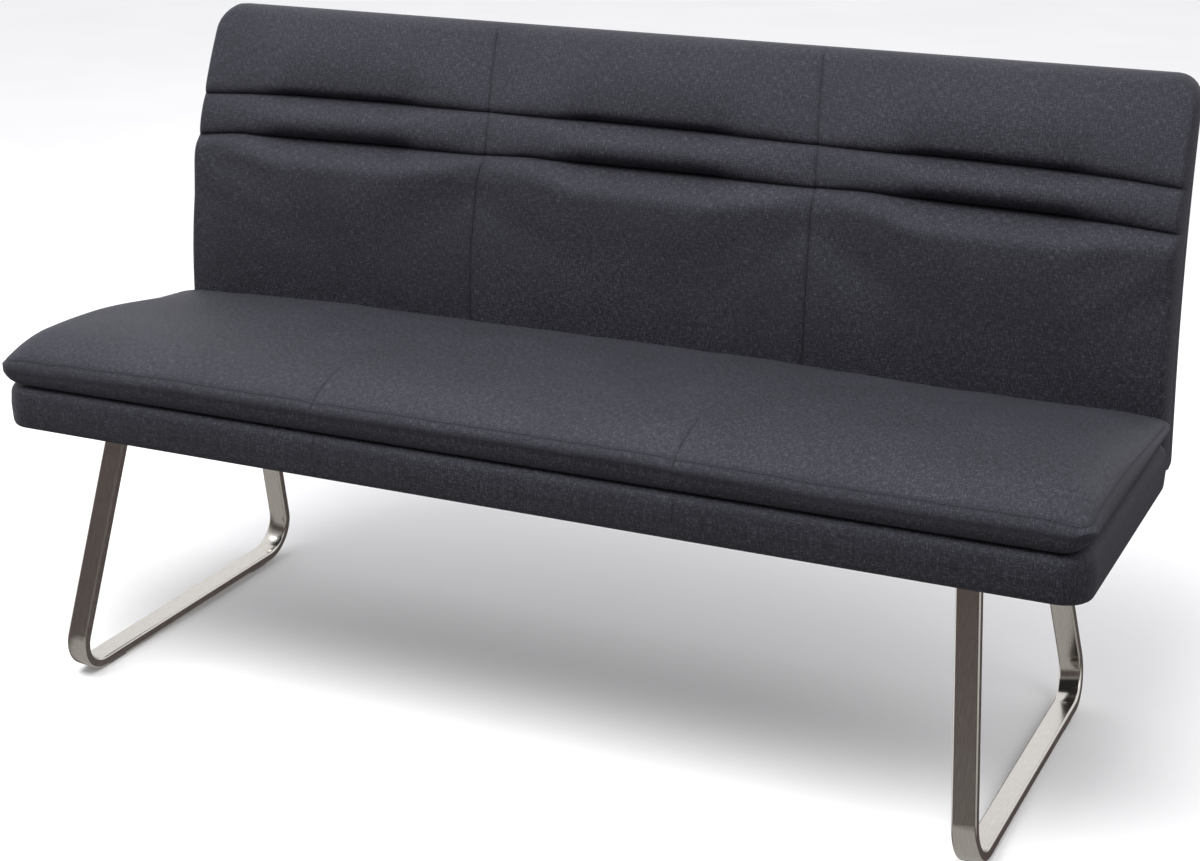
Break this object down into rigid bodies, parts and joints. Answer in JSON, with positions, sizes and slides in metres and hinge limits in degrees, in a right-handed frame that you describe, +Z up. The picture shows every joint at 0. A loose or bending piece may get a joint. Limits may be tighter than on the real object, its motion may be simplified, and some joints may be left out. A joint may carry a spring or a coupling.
{
  "type": "upholstered bench",
  "caption": "Long upholstered dining bench with a padded seat cushion and a curved, tucked back, standing on bent flat-tube sled frames.",
  "frame": {"origin": "on the floor, under the middle of the bench's length and overall depth", "axes": "+X along the bench to the sitter's left, which is the right of a viewer in front of it; +Y from the seat's front to its back; +Z up"},
  "size_m": [1.6, 0.6602, 0.908],
  "materials": {
    "weave": "matt anthracite woven upholstery cloth",
    "stainless": "satin-polished stainless tube",
    "plate_steel": "black powder coat",
    "zinc_steel": "bright zinc plate",
    "glide_plastic": "black plastic",
    "timber": "planed softwood",
    "plywood": "moulded plywood",
    "strap_cloth": "elastic webbing",
    "dust_cloth": "black non-woven cloth",
    "foam": "open-cell foam sheet"
  },
  "bodies": {
    "root": {"leg_frame_left": "stainless", "leg_frame_right": "stainless", "floor_glides": "glide_plastic", "leg_plate_left": "plate_steel", "leg_plate_right": "plate_steel", "leg_bolts": "zinc_steel", "leg_washers": "zinc_steel", "leg_inserts": "zinc_steel", "seat_front_rail": "timber", "seat_rear_rail": "timber", "seat_end_rail_left": "timber", "seat_end_rail_right": "timber", "leg_rail_left": "timber", "leg_rail_right": "timber", "seat_centre_rail": "timber", "corner_blocks": "timber", "seat_webbing": "strap_cloth", "seat_base_foam": "foam", "seat_base_cover": "weave", "dust_cover": "dust_cloth", "seat_cushion": "weave", "back_board": "plywood", "back_pad_left": "weave", "back_pad_middle": "weave", "back_pad_right": "weave", "back_rear_cover": "weave", "back_bolts": "zinc_steel", "back_washers": "zinc_steel", "back_inserts": "zinc_steel"}
  },
  "joints": []
}
